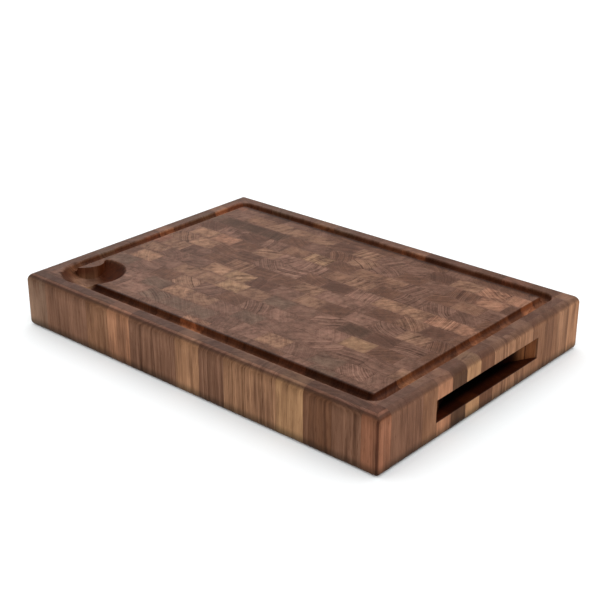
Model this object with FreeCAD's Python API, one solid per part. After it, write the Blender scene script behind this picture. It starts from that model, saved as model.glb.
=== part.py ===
import FreeCAD, Part
import math
import os

# End-grain chopping board, laid flat.
# Frame: origin at the centre of the underside, +X along the length, +Y towards the back edge, +Z up.
# The board is glued up from upright blocks, so that the worktop shows end grain all over. Blocks
# stand in strips that run along X, and every other strip is turned round, so that the joints of
# neighbouring strips never line up. Blocks touch face to face: the glue film has no thickness here.

# Board, finished size in millimetres
LENGTH = 480.0
WIDTH = 340.0
THICKNESS = 60.0
CORNER_RADIUS = 3.0
TOP_EDGE_RADIUS = 7.5
BOTTOM_EDGE_RADIUS = 5.0

# Blocks and strips: whole strips are laid from the back edge, and the front one is what is left
BLOCK_LENGTH = 33.0
STRIP_WIDTH = 23.0
WHOLE_STRIPS = 14
FIRST_BLOCK_ODD = 32.0
FIRST_BLOCK_EVEN = 10.0

# Juice groove: a U section with its lips eased at 45 degrees
GROOVE_INSET = 24.0
GROOVE_CORNER = 8.0
GROOVE_NOSE_RADIUS = 6.0
GROOVE_LIP = 0.8
GROOVE_HALF_WIDTH = GROOVE_NOSE_RADIUS + GROOVE_LIP

# Pouring well in the front left corner: a spherical bowl that the groove runs into at both ends
WELL_RADIUS = 35.0
WELL_DEPTH = 16.0
WELL_INSET = 51.0
WELL_LIP = 0.8
WELL_LIP_SLOPE = 25.0

# Tongue of the worktop left standing between the left groove and the well: places along its round
# side, measured from the left and front edges
TONGUE_TIP = (30.6, 47.6)
TONGUE_BELLY = (39.0, 55.8)
TONGUE_SHOULDER = (42.8, 67.0)
TONGUE_NECK = (41.2, 73.5)
TONGUE_ROOT = (36.5, 79.0)

# Finger pocket in each end face, with a back wall that is an arc seen from above and a short
# square step at each end of the arc
POCKET_WIDTH = 173.0
POCKET_HEIGHT = 22.5
POCKET_DEPTH = 27.5
POCKET_END_DEPTH = 2.0
POCKET_FLOOR = 18.5
POCKET_MIDDLE_Y = 2.5
POCKET_LIP_RADIUS = 0.8

# How far the cutters stand out of the face that they cut, and how exactly edges are told apart
CLEARANCE = 1.0
EDGE_TOLERANCE = 0.01

HALF_LENGTH = LENGTH / 2
HALF_WIDTH = WIDTH / 2
STRIP_COUNT = WHOLE_STRIPS + 1
UP = FreeCAD.Vector(0, 0, 1)


def upright_edges(shape):
    return [edge for edge in shape.Edges if edge.BoundBox.ZLength > THICKNESS / 2]


def edges_at_height(shape, height):
    """The edges of a shape that lie wholly at one height."""
    return [edge for edge in shape.Edges if all(abs(v.Z - height) < EDGE_TOLERANCE for v in edge.Vertexes)]


def rounded_board():
    """The plain board with every edge eased: the corners first, then the rims that run round them."""
    low_corner = FreeCAD.Vector(-HALF_LENGTH, -HALF_WIDTH, 0)
    board = Part.makeBox(LENGTH, WIDTH, THICKNESS, low_corner)
    board = board.makeFillet(CORNER_RADIUS, upright_edges(board))
    board = board.makeFillet(TOP_EDGE_RADIUS, edges_at_height(board, THICKNESS))
    return board.makeFillet(BOTTOM_EDGE_RADIUS, edges_at_height(board, 0))


def corner_arc(centre_x, centre_y, start_angle):
    """A quarter turn of the groove's centre line, clockwise seen from above."""
    centre = FreeCAD.Vector(centre_x, centre_y, THICKNESS)
    points = []
    for turn in (0, 45, 90):
        angle = math.radians(start_angle - turn)
        points.append(centre + FreeCAD.Vector(math.cos(angle), math.sin(angle), 0) * GROOVE_CORNER)
    return Part.Arc(*points)


def groove_line():
    """The groove's centre line: from the well up the left side, round the board and back to the well."""
    side_x = HALF_LENGTH - GROOVE_INSET
    side_y = HALF_WIDTH - GROOVE_INSET
    arc_x = side_x - GROOVE_CORNER
    arc_y = side_y - GROOVE_CORNER
    well_x = -HALF_LENGTH + WELL_INSET
    well_y = -HALF_WIDTH + WELL_INSET

    def run(start, end):
        return Part.LineSegment(FreeCAD.Vector(*start, THICKNESS), FreeCAD.Vector(*end, THICKNESS))

    pieces = [
        run((-side_x, well_y), (-side_x, arc_y)),
        corner_arc(-arc_x, arc_y, 180),
        run((-arc_x, side_y), (arc_x, side_y)),
        corner_arc(arc_x, arc_y, 90),
        run((side_x, arc_y), (side_x, -arc_y)),
        corner_arc(arc_x, -arc_y, 0),
        run((arc_x, -side_y), (well_x, -side_y)),
    ]
    return Part.Wire([piece.toShape() for piece in pieces])


def groove_half_section(side):
    """One side (-1 or +1) of the groove's section in the XZ plane, from the floor's middle up past the lip."""
    lip_foot = FreeCAD.Vector(side * GROOVE_NOSE_RADIUS, 0, -GROOVE_LIP)
    nose_middle = FreeCAD.Vector(
        side * GROOVE_NOSE_RADIUS * math.sin(math.pi / 4),
        0,
        -GROOVE_LIP - GROOVE_NOSE_RADIUS * math.cos(math.pi / 4),
    )
    floor = FreeCAD.Vector(0, 0, -GROOVE_LIP - GROOVE_NOSE_RADIUS)
    lip_top = FreeCAD.Vector(side * (GROOVE_HALF_WIDTH + CLEARANCE), 0, CLEARANCE)
    return [
        Part.Arc(floor, nose_middle, lip_foot).toShape(),
        Part.makeLine(lip_foot, lip_top),
        Part.makeLine(lip_top, UP * CLEARANCE),
    ]


def groove_end(point):
    """The round end that the cutter leaves where the groove stops."""
    axis_line = Part.makeLine(UP * CLEARANCE, UP * (-GROOVE_LIP - GROOVE_NOSE_RADIUS))
    half_face = Part.Face(Part.Wire(groove_half_section(1) + [axis_line]))
    return half_face.revolve(FreeCAD.Vector(0, 0, 0), UP, 360).translated(point)


def groove_cutter():
    """All that is cut for the groove: the U section along its line, and a round end at each end of it."""
    line = groove_line()
    start = line.OrderedVertexes[0].Point
    end = line.OrderedVertexes[-1].Point
    section = Part.Wire(Part.sortEdges(groove_half_section(-1) + groove_half_section(1))[0])
    section.translate(start)
    return line.makePipeShell([section], True, True).fuse([groove_end(start), groove_end(end)])


def from_corner(left, front):
    """A point of the underside's plane, by its distances from the left and front edges."""
    return FreeCAD.Vector(-HALF_LENGTH + left, -HALF_WIDTH + front, 0)


def tongue():
    """The upright prism that the well's cutter goes round. The left groove trims its other side."""
    tip, belly, shoulder, neck, root = (
        from_corner(*place) for place in (TONGUE_TIP, TONGUE_BELLY, TONGUE_SHOULDER, TONGUE_NECK, TONGUE_ROOT)
    )
    behind_well = WELL_INSET + WELL_RADIUS + 5
    root_end = from_corner(TONGUE_ROOT[0], behind_well)
    groove_end_back = from_corner(GROOVE_INSET, behind_well)
    groove_end_front = from_corner(GROOVE_INSET, TONGUE_TIP[1])
    outline = Part.Wire([
        Part.Arc(tip, belly, shoulder).toShape(),
        Part.Arc(shoulder, neck, root).toShape(),
        Part.makeLine(root, root_end),
        Part.makeLine(root_end, groove_end_back),
        Part.makeLine(groove_end_back, groove_end_front),
        Part.makeLine(groove_end_front, tip),
    ])
    return Part.Face(outline).extrude(UP * (THICKNESS + 2 * CLEARANCE))


def well_cutter():
    """The ball that leaves a bowl of the stated rim and depth in the worktop, with a cone for its eased lip."""
    ball_radius = (WELL_RADIUS**2 + WELL_DEPTH**2) / (2 * WELL_DEPTH)
    centre = from_corner(WELL_INSET, WELL_INSET) + UP * THICKNESS
    ball = Part.makeSphere(ball_radius, centre + UP * (ball_radius - WELL_DEPTH))
    spread = 1 / math.tan(math.radians(WELL_LIP_SLOPE))
    low_radius = WELL_RADIUS + WELL_LIP - spread * CLEARANCE
    high_radius = WELL_RADIUS + WELL_LIP + spread * CLEARANCE
    lip = Part.makeCone(low_radius, high_radius, 2 * CLEARANCE, centre - UP * CLEARANCE, UP)
    return ball.fuse(lip).cut(tongue())


def pocket_cutter(end):
    """The trimmed disc that cuts the finger pocket in the left (-1) or right (+1) end."""
    half_mouth = POCKET_WIDTH / 2
    bulge = POCKET_DEPTH - POCKET_END_DEPTH
    disc_radius = (half_mouth**2 + bulge**2) / (2 * bulge)
    disc_place = FreeCAD.Vector(end * (HALF_LENGTH - POCKET_DEPTH + disc_radius), POCKET_MIDDLE_Y, POCKET_FLOOR)
    disc = Part.makeCylinder(disc_radius, POCKET_HEIGHT, disc_place, UP)
    trim_corner = FreeCAD.Vector(-LENGTH, POCKET_MIDDLE_Y - half_mouth, POCKET_FLOOR)
    return disc.common(Part.makeBox(2 * LENGTH, POCKET_WIDTH, POCKET_HEIGHT, trim_corner))


def cut_pocket(board, end):
    """Cuts one finger pocket and rounds the four edges of its mouth, so that it doesn't bite the fingers."""
    board = board.cut(pocket_cutter(end))
    end_x = end * HALF_LENGTH
    front, back = POCKET_MIDDLE_Y - POCKET_WIDTH / 2, POCKET_MIDDLE_Y + POCKET_WIDTH / 2
    ceiling = POCKET_FLOOR + POCKET_HEIGHT
    mouth_box = FreeCAD.BoundBox(end_x, front, POCKET_FLOOR, end_x, back, ceiling)
    mouth_box.enlarge(EDGE_TOLERANCE)
    mouth = [edge for edge in board.Edges if mouth_box.isInside(edge.BoundBox)]
    return board.makeFillet(POCKET_LIP_RADIUS, mouth)


def finished_board():
    board = rounded_board()
    for end in (-1, 1):
        board = cut_pocket(board, end)
    return board.cut(groove_cutter()).cut(well_cutter())


def strip_limits(number):
    """The front and back Y of a strip. Strip 1 lies along the back edge."""
    back = HALF_WIDTH - STRIP_WIDTH * (number - 1)
    return max(back - STRIP_WIDTH, -HALF_WIDTH), back


def block_joints(number):
    """The X of every block's two ends in a strip, from left to right, as a rising list."""
    first_block = FIRST_BLOCK_ODD if number % 2 else FIRST_BLOCK_EVEN
    joints = [-HALF_LENGTH]
    joint = -HALF_LENGTH + first_block
    while joint < HALF_LENGTH:
        joints.append(joint)
        joint += BLOCK_LENGTH
    return joints + [HALF_LENGTH]


def zone_of(left, right):
    """Which part of its strip a block is in: an end that the end grooves and pockets cut, or the field."""
    reach = max(GROOVE_INSET + GROOVE_HALF_WIDTH, POCKET_DEPTH)
    if left < -HALF_LENGTH + reach:
        return "left_end"
    if right > HALF_LENGTH - reach:
        return "right_end"
    return "field"


def cut_block(board, left, right, front, back):
    """The solids of one block: one, or two where a pocket goes right through it."""
    low_corner = FreeCAD.Vector(left, front, 0)
    return board.common(Part.makeBox(right - left, back - front, THICKNESS, low_corner)).Solids


def export_strip(board, number):
    front, back = strip_limits(number)
    joints = block_joints(number)
    zones = {"left_end": [], "field": [], "right_end": []}
    for left, right in zip(joints, joints[1:]):
        zones[zone_of(left, right)] += cut_block(board, left, right, front, back)
    for zone, solids in zones.items():
        Part.makeCompound(solids).exportStep(f"parts/strip_{number:02d}_{zone}.step")
    return sum(len(solids) for solids in zones.values())


os.makedirs("parts", exist_ok=True)
finished = finished_board()
solid_count = sum(export_strip(finished, number) for number in range(1, STRIP_COUNT + 1))
print(f"board volume {finished.Volume / 1e6:.3f} litres in {solid_count} solids")
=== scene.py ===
import math
from collections import namedtuple

import bpy
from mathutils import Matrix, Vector


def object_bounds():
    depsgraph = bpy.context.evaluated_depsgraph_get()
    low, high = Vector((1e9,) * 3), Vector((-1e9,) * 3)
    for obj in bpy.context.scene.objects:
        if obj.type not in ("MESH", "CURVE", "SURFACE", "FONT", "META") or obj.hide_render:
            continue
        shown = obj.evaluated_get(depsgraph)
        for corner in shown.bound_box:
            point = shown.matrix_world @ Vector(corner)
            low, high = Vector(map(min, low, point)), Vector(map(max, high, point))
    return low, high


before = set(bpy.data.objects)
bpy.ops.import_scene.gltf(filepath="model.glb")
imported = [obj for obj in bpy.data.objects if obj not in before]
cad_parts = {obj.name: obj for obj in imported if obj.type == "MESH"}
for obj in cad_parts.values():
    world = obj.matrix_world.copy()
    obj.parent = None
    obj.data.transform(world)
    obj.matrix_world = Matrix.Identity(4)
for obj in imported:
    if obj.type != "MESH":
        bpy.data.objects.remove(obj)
cad_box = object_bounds()

# ---------------------------------------------------------------- the board, in millimetres

MM = 0.001
LENGTH, WIDTH, THICKNESS = ((high - low) / MM for low, high in zip(*cad_box))
GROOVE_INSET = 24.0
GROOVE_DEPTH = 6.8
WELL_INSET = 51.0
WELL_RADIUS = 35.0

# The blocks. The first one of a strip is trimmed, differently in strips of odd and of even number.
BLOCK_LENGTH = 33.0
STRIP_WIDTH = 23.0
FIRST_BLOCK_ODD = 32.0
FIRST_BLOCK_EVEN = 10.0
GLUE_WIDTH = 0.25

# The timber's tones, as sRGB colours of the oiled side grain
TONES = {
    "k": (73, 49, 34),
    "d": (88, 57, 41),
    "b": (100, 66, 47),
    "m": (112, 78, 60),
    "n": (105, 78, 60),
    "h": (122, 93, 75),
    "s": (122, 85, 62),
    "p": (130, 92, 72),
    "t": (134, 96, 71),
    "y": (143, 105, 74),
    "a": (151, 109, 80),
    "g": (151, 112, 80),
    "o": (149, 103, 76),
    "r": (123, 79, 58),
    "w": (184, 131, 98),
}
MIDDLE_TONE = "m"

# One letter for each block, from left to right, in strips from the back edge to the front.
# A capital is the same tone with a bold figure.
STRIPS = [
    "mmnmtnmpodmbrba",
    "mrmdmmbbbmbmbbmt",
    "omsTttdTMMdTOos",
    "mnkkKbmBTMBmBods",
    "ndpdMsGbSSMBsmt",
    "mmaobTPPsTbMMmbT",
    "oSabbMPbdPaaOoT",
    "mrtmbSBbTppbSdbb",
    "mtmmaGdmtbpMTBg",
    "mbamttgTnmPkdMbk",
    "nnmbTMbMpmpyBmo",
    "mbmpnatmnmmPMmts",
    "mmmpNnnmpamnPmm",
    "mmtbmmmwmmbpnmmm",
    "hmmSoMMaMTTgBMr",
]

# Groups of strips, numbered from 1 at the back edge
BACK_HALF = range(1, 8)
FRONT_THREE = range(13, 16)

# ---------------------------------------------------------------- the pattern of the wood

# A noise pattern: the size of its grain across the wood and along it, in millimetres, its number
# of finer octaves, and a shift that tells it apart from the others
Pattern = namedtuple("Pattern", "across along detail shift")
SWAY = Pattern(16.0, 70.0, 2.0, 0.0)
STREAKS = Pattern(1.7, 45.0, 2.0, 0.0)
SPECKS = Pattern(0.9, 14.0, 2.0, 20.0)
PORES = Pattern(0.5, 9.0, 0.0, 40.0)
MOTTLE = Pattern(6.0, 60.0, 2.0, 60.0)
CLOUD = Pattern(21.0, 60.0, 1.0, 80.0)
OLIVE_SIZE = (9.0, 60.0)
OLIVE_DETAIL = 3.0

# Growth rings: their width in millimetres, their number of finer octaves, how strongly they show
# in every block, and how much a bold figure adds to that
Rings = namedtuple("Rings", "width detail depth figured_depth")
BROAD_RINGS = Rings(6.0, 2.0, 0.3, 1.3)
FINE_RINGS = Rings(1.5, 1.0, 0.2, 1.5)
PLAIN_FIGURE = 0.35
BOLD_FIGURE = 1.0

# The pith that a block's rings run round: how far off it lies, how much it leans, how the rings sway
NEAREST_PITH = 40.0
PITH_SPREAD = 140.0
PITH_LEAN = 0.08
RING_SWAY = 4.0

# What sets the noise of one block apart from that of the next, along the strip and across it
SEED_PER_BLOCK = 7.31
SEED_PER_STRIP = 3.17

# How strongly the other patterns show, and the noise at which a pore begins and is complete
STREAK_DEPTH = 0.7
SPECK_DEPTH = 0.9
MOTTLE_DEPTH = 1.5
CLOUD_DEPTH = 1.5
BLOCK_DEPTH = 0.12
PORE_NOISE = (0.66, 0.74)

# The contrast of the figure on side grain, and what end grain adds to it
SIDE_GRAIN_CONTRAST = 0.78
ADDED_END_GRAIN_CONTRAST = 0.12

# Where a block's own tone gives way to the middle tone: by noise, and by the distance to a joint
EVEN_NOISE = (-0.25, 0.02)
JOINT_DISTANCE = (5.0, 0.0)

# How far tone or figure fades there and on other parts
UNEVEN_FADE = 0.5
JOINT_FADE = 0.5
END_GRAIN_FADE = 0.12
RIM_FADE = 0.4
ROUNDOVER_FADE = 0.4

# ---------------------------------------------------------------- the looks of each part

# What each part of the surface multiplies the timber's colour by: red, green, blue
DARK_FIGURE_TINT = (0.20, 0.13, 0.08)
LIGHT_FIGURE_TINT = (1.85, 1.95, 2.0)
PORE_TINT = (0.72, 0.66, 0.62)
END_GRAIN_TINT = (0.84, 0.817, 0.95)
OLIVE_TINT = (0.90, 1.08, 1.04)
RIM_TINT = (0.86, 0.89, 0.93)
ROUNDOVER_TINT = (0.86, 0.82, 0.78)
FRONT_STRIP_TINT = (1.10, 1.13, 1.13)
FRONT_RIM_TINT = (0.655, 0.60, 0.58)
# Painted highlights: a line along the front strip's upper edge, and one along its groove's outer lip
FRONT_EDGE_HIGHLIGHT_TINT = (1.9, 1.9, 1.9)
FRONT_LIP_HIGHLIGHT_TINT = (1.35, 1.35, 1.35)
FRONT_ROUNDOVER_TINT = (0.80, 0.78, 0.76)
CORNER_STREAK_TINT = (0.45, 0.40, 0.40)
GROOVE_TINT = (0.56, 0.36, 0.24)
GROOVE_FLOOR_TINT = (2.0, 2.4, 2.7)
GROOVE_END_TINT = (0.55, 0.48, 0.48)
# Painted shade on the worktop along the groove's inner lip
GROOVE_LIP_SHADE_TINT = (0.28, 0.20, 0.16)
WELL_TINT = (1.30, 1.30, 1.15)
# Painted shade on the well's back
WELL_BACK_SHADE_TINT = (0.34, 0.18, 0.12)
WELL_FRONT_TINT = (0.42, 0.32, 0.28)
WELL_LEFT_TINT = (0.56, 0.42, 0.32)
# Painted light on the well's floor
WELL_FLOOR_LIGHT_TINT = (1.15, 1.25, 1.40)
# Painted shade on the well's steep walls
WELL_STEEP_SHADE_TINT = (0.62, 0.45, 0.42)
POCKET_MOUTH_TINT = (0.85, 0.62, 0.42)
# Painted shade on the pockets' floors and ceilings, and deep inside them
POCKET_FLOOR_SHADE_TINT = (0.23, 0.12, 0.08)
POCKET_DEEP_SHADE_TINT = (0.034, 0.013, 0.0065)
# Painted shade low on the sides, darker towards the floor
FOOT_SHADE_TINT = (0.38, 0.42, 0.42)
GLUE_TINT = (0.7, 0.64, 0.6)

# Where each look fades in: the value at which it begins, and the one at which it is complete.
# First the slope of the surface, from 0 on a side face to 1 on a level one
END_GRAIN_SLOPE = (0.12, 0.75)
FRONT_END_GRAIN_SLOPE = (0.40, 0.85)
SIDE_SLOPE = (0.9, 0.6)
WELL_STEEP_SLOPE = (0.3, 0.1)
POCKET_FLOOR_SLOPE = (0.6, 0.95)

# Bands of slope: where the look begins, is complete, starts to fade, and ends
ROUNDOVER_SLOPES = (0.22, 0.55, 0.75, 0.97)
# The band where the painted highlight on the front strip's upper edge lies
FRONT_HIGHLIGHT_SLOPES = (0.78, 0.90, 0.96, 0.995)

# Distances in from the outer faces
EDGE_INSIDE = (9.0, 7.5)
RIM_INSIDE = (17.5, 16.0)
FRONT_LIP_INSIDE = (14.0, 16.5)
ROUTED_INSIDE = (9.0, 12.0)
INNER_SIDE_INSIDE = (GROOVE_INSET, GROOVE_INSET + 1.0)
POCKET_MOUTH_INSIDE = (0.6, 3.0)
POCKET_DEEP_INSIDE = (5.0, 16.0)

# Depths below the worktop
FRONT_LIP_DEPTH = (2.0, 0.5)
OUTER_WALL_DEPTH = (0.5, 3.0)
INNER_WALL_DEPTH = (0.0, 0.6)
GROOVE_FLOOR_DEPTH = (4.2, GROOVE_DEPTH)
WELL_FLOOR_DEPTH = (11.0, 14.5)
WELL_STEEP_DEPTH = (12.0, 4.0)

# Heights above the floor that the board stands on
FRONT_ROUNDOVER_HEIGHT = (45.0, 56.0)
ROUTED_HEIGHT = (41.5, 43.5)
POCKET_HEIGHTS = (16.0, 18.4, 41.5, 43.5)
FOOT_HEIGHT = (13.0, 3.0)

# Distances from the middle of the board towards its ends
GROOVE_END_FROM_MIDDLE = (40.0, 150.0)

# The painted shade on the worktop beside the groove: how far from the groove's middle it is darkest, and
# its widths
LIP_SHADE_FROM_GROOVE = 7.0
BACK_LIP_SHADE_WIDTH = 7.0
FRONT_LIP_SHADE_WIDTH = 3.0

# Distances from the middle of the well: all round, in the direction of its back, which has painted shade,
# and to the right
WELL_FROM_MIDDLE = (WELL_RADIUS + 2.0, WELL_RADIUS - 3.0)
BACK_OF_WELL = (0.35, 0.94)
WELL_BACK = (-3.0, 15.0)
WELL_FRONT = (-16.0, -26.0)
WELL_LEFT = (-15.0, -26.0)

# The dark streak in the front face: how far in from the right end it lies, and its half width
CORNER_STREAK_INSET = 1.7
CORNER_STREAK_HALF_WIDTH = (1.6, 0.6)

# The oiled surface, with the height of its relief in millimetres
ROUGHNESS = 0.48
SPECK_ROUGHNESS = 0.25
OIL_IOR = 1.10
SPECK_RELIEF = 0.8
RELIEF_HEIGHT = 0.12
RELIEF_STRENGTH = 0.6

# ---------------------------------------------------------------- shader arithmetic


class Field:
    """A value that varies over the surface: a shader node's output. Arithmetic on it adds Math nodes."""

    def __init__(self, socket):
        self.socket = socket

    def __add__(self, other):
        return calculate("ADD", self, other)

    def __radd__(self, other):
        return calculate("ADD", other, self)

    def __sub__(self, other):
        return calculate("SUBTRACT", self, other)

    def __rsub__(self, other):
        return calculate("SUBTRACT", other, self)

    def __mul__(self, other):
        return calculate("MULTIPLY", self, other)

    def __truediv__(self, other):
        return calculate("DIVIDE", self, other)

    def __abs__(self):
        return calculate("ABSOLUTE", self)


def plug(value, entry):
    """Joins a field to a node's input, or sets the input to a plain value."""
    if isinstance(value, Field):
        entry.id_data.links.new(value.socket, entry)
    else:
        entry.default_value = value


def calculate(operation, *values):
    """The result of one Math node on fields and plain numbers."""
    tree = next(value.socket.id_data for value in values if isinstance(value, Field))
    node = tree.nodes.new("ShaderNodeMath")
    node.operation = operation
    for value, entry in zip(values, node.inputs):
        plug(value, entry)
    return Field(node.outputs[0])


def ramp(value, low, high):
    """0 where value is at low or beyond, 1 at high or beyond, and a smooth step between them."""
    node = value.socket.id_data.nodes.new("ShaderNodeMapRange")
    node.interpolation_type = "SMOOTHSTEP"
    plug(value, node.inputs["Value"])
    plug(low, node.inputs["From Min"])
    plug(high, node.inputs["From Max"])
    return Field(node.outputs["Result"])


def band(value, begins, complete, fades, ends):
    """1 where value is between complete and fades, 0 beyond begins and ends, and smooth steps between."""
    return ramp(value, begins, complete) * ramp(value, ends, fades)


def point(x, y, z):
    """A vector of three parts, each a field or a plain number."""
    tree = next(value.socket.id_data for value in (x, y, z) if isinstance(value, Field))
    node = tree.nodes.new("ShaderNodeCombineXYZ")
    for value, entry in zip((x, y, z), node.inputs):
        plug(value, entry)
    return Field(node.outputs[0])


def parts_of(vector):
    """The three parts of a vector."""
    node = vector.socket.id_data.nodes.new("ShaderNodeSeparateXYZ")
    plug(vector, node.inputs[0])
    return [Field(output) for output in node.outputs]


def distance(x, y):
    """The straight distance covered by x and y together."""
    return calculate("SQRT", x * x + y * y)


def noise(place, detail, shift=None):
    """Smooth noise from 0 to 1 with a grain of about 1 unit. A shift picks another pattern."""
    node = place.socket.id_data.nodes.new("ShaderNodeTexNoise")
    node.noise_dimensions = "4D"
    plug(place, node.inputs["Vector"])
    plug(1.0, node.inputs["Scale"])
    plug(detail, node.inputs["Detail"])
    if shift is not None:
        plug(shift, node.inputs["W"])
    return Field(node.outputs["Fac"])


def line_noise(place, detail):
    """Smooth noise from 0 to 1 along one line."""
    node = place.socket.id_data.nodes.new("ShaderNodeTexNoise")
    node.noise_dimensions = "1D"
    plug(place, node.inputs["W"])
    plug(1.0, node.inputs["Scale"])
    plug(detail, node.inputs["Detail"])
    return Field(node.outputs["Fac"])


def random_three(x, y):
    """Three random values from 0 to 1 for each pair of whole numbers."""
    cell = point(x, y, 0.0)
    node = cell.socket.id_data.nodes.new("ShaderNodeTexWhiteNoise")
    node.noise_dimensions = "2D"
    plug(cell, node.inputs["Vector"])
    return parts_of(Field(node.outputs["Color"]))


def mix(share, first, second):
    """A colour between first, at share 0, and second, at share 1."""
    node = share.socket.id_data.nodes.new("ShaderNodeMix")
    node.data_type = "RGBA"
    plug(share, node.inputs["Factor"])
    plug(first, node.inputs["A"])
    plug(second, node.inputs["B"])
    return Field(node.outputs["Result"])


def tint(colour, share, factor):
    """The colour multiplied by the (red, green, blue) factor, as far as share says."""
    node = colour.socket.id_data.nodes.new("ShaderNodeMix")
    node.data_type = "RGBA"
    node.blend_type = "MULTIPLY"
    plug(share, node.inputs["Factor"])
    plug(colour, node.inputs["A"])
    plug((*factor, 1.0), node.inputs["B"])
    return Field(node.outputs["Result"])


def linear(colour):
    """An sRGB colour, 0 to 255, as the linear colour that shaders work in."""
    shares = [channel / 255 for channel in colour]
    return [s / 12.92 if s <= 0.04045 else ((s + 0.055) / 1.055) ** 2.4 for s in shares]


# ---------------------------------------------------------------- wood


class Wood:
    """The wood of one strip at the spot being shaded. Lengths are in millimetres."""

    def __init__(self, tree, number):
        coordinates = tree.nodes.new("ShaderNodeTexCoord")
        place = parts_of(Field(coordinates.outputs["Object"]))
        self.number = number
        self.in_front_strip = number == len(STRIPS)
        self.x, self.y, self.z = (axis * (1 / MM) for axis in place)
        self.facing_up = abs(parts_of(Field(coordinates.outputs["Normal"]))[2])
        self.below_top = THICKNESS - self.z
        self.inside = calculate("MINIMUM", LENGTH / 2 - abs(self.x), WIDTH / 2 - abs(self.y))
        self.find_block()
        self.find_joint()
        self.draw_figure()
        self.find_end_grain()

    def find_block(self):
        """Which block this is, and the place within it from its middle."""
        first_block = FIRST_BLOCK_ODD if self.number % 2 else FIRST_BLOCK_EVEN
        from_left_end = LENGTH / 2 - first_block
        self.index = calculate("FLOOR", (self.x + from_left_end) / BLOCK_LENGTH) + 1
        self.block_x = self.x - (self.index - 0.5) * BLOCK_LENGTH + from_left_end
        self.block_y = self.y - (WIDTH / 2 - (self.number - 0.5) * STRIP_WIDTH)
        self.chances = random_three(self.index, float(self.number))
        self.seed = self.index * SEED_PER_BLOCK + self.number * SEED_PER_STRIP

    def find_joint(self):
        """Distance to the nearest glued joint. The outer faces of the board have none."""
        self.to_joint = BLOCK_LENGTH / 2 - abs(self.block_x)
        if self.number > 1:
            self.to_joint = calculate("MINIMUM", self.to_joint, STRIP_WIDTH / 2 - self.block_y)
        if not self.in_front_strip:
            self.to_joint = calculate("MINIMUM", self.to_joint, self.block_y + STRIP_WIDTH / 2)

    def noise_of(self, pattern):
        """Noise from 0 to 1 that is different in each block."""
        place = point(self.x / pattern.across, self.y / pattern.across, self.z / pattern.along)
        return noise(place, pattern.detail, self.seed + pattern.shift)

    def shade_of(self, rings, radius):
        """Light, above 0, and dark, below 0, along rings at a distance from the pith."""
        return line_noise(radius / rings.width + self.seed, rings.detail) - 0.5

    def draw_figure(self):
        """Growth rings round a pith that lies off to one side and leans a little, and finer marks."""
        chance_a, chance_b, chance_c = self.chances
        turn = chance_a * (2 * math.pi)
        pith_distance = NEAREST_PITH + chance_b * PITH_SPREAD
        lean = (self.z - THICKNESS / 2) * (chance_c - 0.5) * PITH_LEAN
        to_pith_x = self.block_x - calculate("COSINE", turn) * pith_distance + lean
        to_pith_y = self.block_y - calculate("SINE", turn) * pith_distance
        radius = distance(to_pith_x, to_pith_y) + (self.noise_of(SWAY) - 0.5) * RING_SWAY
        self.broad_rings = self.shade_of(BROAD_RINGS, radius)
        self.fine_rings = self.shade_of(FINE_RINGS, radius)
        self.streaks = self.noise_of(STREAKS) - 0.5
        self.specks = self.noise_of(SPECKS) - 0.5
        self.mottle = self.noise_of(MOTTLE) - 0.5
        self.cloud = self.noise_of(CLOUD) - 0.5
        self.pores = ramp(self.noise_of(PORES), *PORE_NOISE)

    def find_end_grain(self):
        """How far this is end grain, which the top shows, and how far it is the rim or its rounding."""
        slope = FRONT_END_GRAIN_SLOPE if self.in_front_strip else END_GRAIN_SLOPE
        self.end_grain = ramp(self.facing_up, *slope)
        self.rim = ramp(self.inside, *RIM_INSIDE) * self.end_grain
        self.near_edge = ramp(self.inside, *EDGE_INSIDE)
        self.rounded = band(self.facing_up, *ROUNDOVER_SLOPES) * self.near_edge


def tone_chart(place, letters):
    """The tone of the block at a place from 0 to 1 along the strip, and how bold its figure is."""
    node = place.socket.id_data.nodes.new("ShaderNodeValToRGB")
    node.color_ramp.interpolation = "CONSTANT"
    steps = node.color_ramp.elements
    while len(steps) < len(letters):
        steps.new(1.0)
    for index, letter in enumerate(letters):
        steps[index].position = index / len(letters)
        figure = BOLD_FIGURE if letter.isupper() else PLAIN_FIGURE
        steps[index].color = (*linear(TONES[letter.lower()]), figure)
    plug(place, node.inputs[0])
    return Field(node.outputs["Color"]), Field(node.outputs["Alpha"])


def own_tone_share(wood):
    """How far a block shows its own tone: unevenly, and a little less by the joints and on the rim."""
    share = ramp(wood.mottle + wood.cloud, *EVEN_NOISE) * UNEVEN_FADE + (1.0 - UNEVEN_FADE)
    share = share * (1.0 - ramp(wood.to_joint, *JOINT_DISTANCE) * wood.end_grain * JOINT_FADE)
    share = share * (1.0 - wood.rim * RIM_FADE)
    return share * (1.0 - wood.end_grain * END_GRAIN_FADE)


def figure_shade(wood, figure):
    """Light, above 0, and dark, below 0, along the figure. It is softer on the rim and its rounding."""
    shade = wood.broad_rings * (figure * BROAD_RINGS.figured_depth + BROAD_RINGS.depth)
    shade = shade + wood.fine_rings * (figure * FINE_RINGS.figured_depth + FINE_RINGS.depth)
    shade = shade + wood.streaks * STREAK_DEPTH + wood.specks * SPECK_DEPTH
    shade = shade + wood.mottle * MOTTLE_DEPTH + wood.cloud * CLOUD_DEPTH
    shade = shade + (wood.chances[2] - 0.5) * BLOCK_DEPTH
    shade = shade * (wood.end_grain * ADDED_END_GRAIN_CONTRAST + SIDE_GRAIN_CONTRAST)
    return shade * (1.0 - wood.rounded * ROUNDOVER_FADE) * (1.0 - wood.rim * RIM_FADE)


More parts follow.
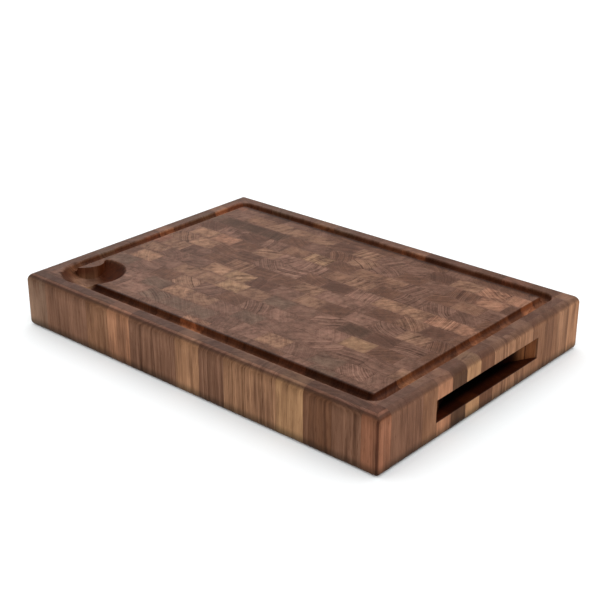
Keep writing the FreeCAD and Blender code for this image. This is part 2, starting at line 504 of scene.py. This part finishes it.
def timber(wood, letters):
    """The colour of the oiled side grain."""
    own_tone, figure = tone_chart((wood.index + 0.5) / len(letters), letters)
    colour = mix(own_tone_share(wood), (*linear(TONES[MIDDLE_TONE]), 1.0), own_tone)
    shade = figure_shade(wood, figure)
    colour = tint(colour, shade * -1.0, DARK_FIGURE_TINT)
    colour = tint(colour, shade, LIGHT_FIGURE_TINT)
    return tint(colour, wood.pores, PORE_TINT)


def oiled_end_grain(colour, wood):
    """End grain drinks more oil, most of all at the rounded rim."""
    across, along = OLIVE_SIZE
    olive = noise(point(wood.x / across, wood.y / across, wood.z / along), OLIVE_DETAIL)
    colour = tint(colour, wood.end_grain, END_GRAIN_TINT)
    colour = tint(colour, olive * wood.end_grain, OLIVE_TINT)
    colour = tint(colour, wood.rim, RIM_TINT)
    if wood.in_front_strip:
        return front_strip(colour, wood)
    return tint(colour, wood.rounded, ROUNDOVER_TINT)


def front_strip(colour, wood):
    """The front strip is darker on top than on its face, with painted highlights along its upper edge and
    its groove's outer lip.
    """
    # painted highlight along the front strip's upper edge
    edge = band(wood.facing_up, *FRONT_HIGHLIGHT_SLOPES) * wood.near_edge
    rounding = ramp(wood.z, *FRONT_ROUNDOVER_HEIGHT) * ramp(wood.facing_up, *SIDE_SLOPE)
    # painted highlight along the outer lip of the front groove
    lip = ramp(wood.inside, *FRONT_LIP_INSIDE) * ramp(wood.below_top, *FRONT_LIP_DEPTH)
    from_streak = abs(wood.x - (LENGTH / 2 - CORNER_STREAK_INSET))
    streak = ramp(from_streak, *CORNER_STREAK_HALF_WIDTH) * (1.0 - wood.end_grain)
    colour = tint(colour, 1.0, FRONT_STRIP_TINT)
    colour = tint(colour, wood.end_grain, FRONT_RIM_TINT)
    colour = tint(colour, edge, FRONT_EDGE_HIGHLIGHT_TINT)
    colour = tint(colour, rounding, FRONT_ROUNDOVER_TINT)
    colour = tint(colour, lip, FRONT_LIP_HIGHLIGHT_TINT)
    return tint(colour, streak, CORNER_STREAK_TINT)


def routed_share(wood, inner_side):
    """How far this is in the groove or the well. Their inner walls are dark right from the lip."""
    begins = OUTER_WALL_DEPTH[0] + inner_side * (INNER_WALL_DEPTH[0] - OUTER_WALL_DEPTH[0])
    complete = OUTER_WALL_DEPTH[1] + inner_side * (INNER_WALL_DEPTH[1] - OUTER_WALL_DEPTH[1])
    deep_enough = ramp(wood.below_top, begins, complete)
    return ramp(wood.inside, *ROUTED_INSIDE) * deep_enough * ramp(wood.z, *ROUTED_HEIGHT)


def groove_oil_and_lip_shade(colour, wood, routed, inner_side, in_well):
    """Oil and juice darken the groove. Painted shade darkens the worktop beside it along the back and the
    front.
    """
    in_groove = routed * (1.0 - in_well)
    colour = tint(colour, in_groove, GROOVE_TINT)
    colour = tint(colour, in_groove * ramp(wood.below_top, *GROOVE_FLOOR_DEPTH), GROOVE_FLOOR_TINT)
    if wood.number in FRONT_THREE:
        near_end = ramp(abs(wood.x), *GROOVE_END_FROM_MIDDLE)
        colour = tint(colour, in_groove * near_end, GROOVE_END_TINT)
    # painted shade on the worktop along the groove's inner lip, wider at the back
    lip_shade_width = BACK_LIP_SHADE_WIDTH if wood.number in BACK_HALF else FRONT_LIP_SHADE_WIDTH
    darkest = WIDTH / 2 - GROOVE_INSET - LIP_SHADE_FROM_GROOVE
    beside_groove = ramp(abs(wood.y), darkest - lip_shade_width, darkest)
    lip_shade = beside_groove * inner_side * (1.0 - in_well) * (1.0 - routed)
    return tint(colour, lip_shade, GROOVE_LIP_SHADE_TINT)


def oiled_well_with_painted_light(colour, wood, well_x, well_y, in_well):
    """The well is lightest at its front right, and darkest at its back, where painted shade darkens it.
    Painted shade also darkens its steep walls, and painted light lightens its floor.
    """
    back_x, back_y = BACK_OF_WELL
    towards_back = well_x * back_x + well_y * back_y
    back = ramp(towards_back, *WELL_BACK)
    # painted light on the well's floor, away from its back
    painted_floor_light = ramp(wood.below_top, *WELL_FLOOR_DEPTH) * (1.0 - back)
    steep_slope = ramp(wood.facing_up, *WELL_STEEP_SLOPE) * ramp(wood.below_top, *WELL_STEEP_DEPTH)
    colour = tint(colour, in_well, WELL_TINT)
    # painted shade on the well's back
    colour = tint(colour, in_well * back, WELL_BACK_SHADE_TINT)
    colour = tint(colour, in_well * ramp(towards_back, *WELL_FRONT), WELL_FRONT_TINT)
    colour = tint(colour, in_well * ramp(well_x, *WELL_LEFT), WELL_LEFT_TINT)
    colour = tint(colour, in_well * painted_floor_light, WELL_FLOOR_LIGHT_TINT)
    # painted shade on the well's steep walls
    return tint(colour, in_well * steep_slope * (1.0 - back), WELL_STEEP_SHADE_TINT)


def oiled_and_shaded_pockets(colour, wood):
    """The finger pockets are oiled at their mouths, and grow darker inwards and on their floors and
    ceilings with painted shade.
    """
    in_pocket = band(wood.z, *POCKET_HEIGHTS)
    colour = tint(colour, in_pocket * ramp(wood.inside, *POCKET_MOUTH_INSIDE), POCKET_MOUTH_TINT)
    # painted shade on the pockets' floors and ceilings and deep inside them
    colour = tint(colour, in_pocket * ramp(wood.facing_up, *POCKET_FLOOR_SLOPE), POCKET_FLOOR_SHADE_TINT)
    return tint(colour, in_pocket * ramp(wood.inside, *POCKET_DEEP_INSIDE), POCKET_DEEP_SHADE_TINT)


def routed_parts(colour, wood):
    """What the router has cut, the groove, the well and the finger pockets, drinks more oil too. Painted
    shade and light are added in the well and the pockets, and painted shade beside the groove.
    """
    well_x = wood.x + (LENGTH / 2 - WELL_INSET)
    well_y = wood.y + (WIDTH / 2 - WELL_INSET)
    in_well = ramp(distance(well_x, well_y), *WELL_FROM_MIDDLE)
    inner_side = ramp(wood.inside, *INNER_SIDE_INSIDE)
    routed = routed_share(wood, inner_side)
    colour = groove_oil_and_lip_shade(colour, wood, routed, inner_side, in_well)
    colour = oiled_well_with_painted_light(colour, wood, well_x, well_y, routed * in_well)
    return oiled_and_shaded_pockets(colour, wood)


def oiled_surface(shader, wood, glue):
    """Gloss and the finest relief, where pores and glue lines lie a little deeper."""
    tree = shader.id_data
    bump = tree.nodes.new("ShaderNodeBump")
    bump.inputs["Distance"].default_value = RELIEF_HEIGHT * MM
    bump.inputs["Strength"].default_value = RELIEF_STRENGTH
    plug(wood.specks * SPECK_RELIEF - wood.pores - glue, bump.inputs["Height"])
    plug(Field(bump.outputs["Normal"]), shader.inputs["Normal"])
    plug(ROUGHNESS + wood.specks * SPECK_ROUGHNESS, shader.inputs["Roughness"])
    shader.inputs["IOR"].default_value = OIL_IOR


def strip_material(number, letters):
    """The oiled wood of one strip of blocks."""
    material = bpy.data.materials.new(f"end_grain_strip_{number:02d}")
    material.use_nodes = True
    shader = material.node_tree.nodes["Principled BSDF"]
    wood = Wood(material.node_tree, number)
    # painted shade low on the side faces, darker towards the floor
    foot_shade = ramp(wood.z, *FOOT_HEIGHT) * ramp(wood.facing_up, *SIDE_SLOPE)
    glue = ramp(wood.to_joint, GLUE_WIDTH, GLUE_WIDTH / 4)
    colour = timber(wood, letters)
    colour = oiled_end_grain(colour, wood)
    colour = routed_parts(colour, wood)
    colour = tint(colour, foot_shade, FOOT_SHADE_TINT)
    colour = tint(colour, glue, GLUE_TINT)
    plug(colour, shader.inputs["Base Color"])
    oiled_surface(shader, wood, glue)
    return material


for number, letters in enumerate(STRIPS, start=1):
    material = strip_material(number, letters)
    for zone in ("left_end", "field", "right_end"):
        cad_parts[f"strip_{number:02d}_{zone}"].material_slots[0].material = material

# ---------------------------------------------------------------- floor, light and camera

FLOOR_SIZE = 30.0
FLOOR_GREY = 0.9
FLOOR_ROUGHNESS = 0.9
WHITE = (1.0, 1.0, 1.0)
COOL_WHITE = (0.94, 1.0, 1.02)

CAMERA_AZIMUTH = math.radians(41.10)
CAMERA_ELEVATION = math.radians(24.04)
CAMERA_PLACE = (0.7876, -0.8991, 0.5748)
CAMERA_LENS = 74.1
CAMERA_SENSOR = 36.0


def floor():
    """A plain pale floor at the height that the board stands on."""
    mesh = bpy.data.meshes.new("floor")
    half = FLOOR_SIZE / 2
    corners = [(-half, -half, 0), (half, -half, 0), (half, half, 0), (-half, half, 0)]
    mesh.from_pydata(corners, [], [(0, 1, 2, 3)])
    material = bpy.data.materials.new("pale_floor")
    material.use_nodes = True
    shader = material.node_tree.nodes["Principled BSDF"]
    shader.inputs["Base Color"].default_value = (FLOOR_GREY, FLOOR_GREY, FLOOR_GREY, 1.0)
    shader.inputs["Roughness"].default_value = FLOOR_ROUGHNESS
    shader.inputs["Specular IOR Level"].default_value = 0.0
    mesh.materials.append(material)
    plane = bpy.data.objects.new("floor", mesh)
    bpy.context.scene.collection.objects.link(plane)
    return plane


def softbox(name, place, size, watts, lit, colour=WHITE):
    """A square light that faces the middle of the scene and falls on the lit objects only."""
    light = bpy.data.lights.new(name, "AREA")
    light.color = colour
    light.size = size
    light.energy = watts
    lamp = bpy.data.objects.new(name, light)
    lamp.location = place
    lamp.rotation_euler = (-Vector(place)).to_track_quat("-Z", "Y").to_euler()
    receivers = bpy.data.collections.new(f"{name}_receivers")
    for target in lit:
        receivers.objects.link(target)
    lamp.light_linking.receiver_collection = receivers
    bpy.context.scene.collection.objects.link(lamp)


def sky(horizon, zenith):
    """A white dome that grows brighter from the horizon to the zenith."""
    world = bpy.data.worlds.new("studio")
    world.use_nodes = True
    tree = world.node_tree
    direction = Field(tree.nodes.new("ShaderNodeTexCoord").outputs["Generated"])
    height = calculate("MAXIMUM", parts_of(direction)[2], 0.0)
    background = tree.nodes["Background"]
    background.inputs["Color"].default_value = (*WHITE, 1.0)
    plug(height * (zenith - horizon) + horizon, background.inputs["Strength"])
    bpy.context.scene.world = world


def camera():
    """The photograph's view."""
    data = bpy.data.cameras.new("camera")
    data.lens = CAMERA_LENS
    data.sensor_width = CAMERA_SENSOR
    eye = bpy.data.objects.new("camera", data)
    eye.location = CAMERA_PLACE
    eye.rotation_euler = (math.pi / 2 - CAMERA_ELEVATION, 0, CAMERA_AZIMUTH)
    bpy.context.scene.collection.objects.link(eye)
    bpy.context.scene.camera = eye


ground = [floor()]
board = list(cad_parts.values())
sky(horizon=0.62, zenith=0.90)
softbox("key", place=(1.9, 1.5, 2.1), size=1.2, watts=56, lit=board)
softbox("sheen", place=(-2.0, 1.5, 1.9), size=1.2, watts=30, lit=board)
softbox("overhead", place=(0, 0, 3.0), size=30.0, watts=1750, lit=ground, colour=COOL_WHITE)
camera()
bpy.context.scene.view_settings.view_transform = "Standard"
